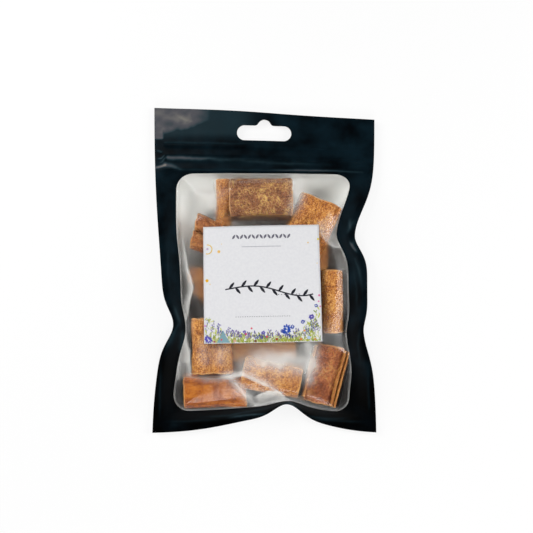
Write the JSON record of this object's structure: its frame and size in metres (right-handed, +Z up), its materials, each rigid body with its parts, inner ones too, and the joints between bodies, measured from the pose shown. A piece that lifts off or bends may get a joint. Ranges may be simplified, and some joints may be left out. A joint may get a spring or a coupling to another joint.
{
  "type": "filled window pouch of cinnamon sticks",
  "caption": "Zip-top window pouch filled with short cinnamon sticks, with a hang hole and a square label, lying on its back.",
  "frame": {"origin": "under the middle of the bounding box, on the surface that the pouch lies on", "axes": "+Z up out of the labelled front, +Y along the pouch towards its zip and hang hole, +X to the right as the label is read"},
  "size_m": [0.1014, 0.1484, 0.0219],
  "materials": {
    "film": "matte black laminate film outside, bare silver inside",
    "window": "frosted clear film",
    "sticks": "rolled cinnamon bark, dry and unscraped",
    "paper": "matte white label paper with a printed flower border"
  },
  "bodies": {
    "root": {"pouch": "film", "label": "paper"}
  },
  "joints": []
}
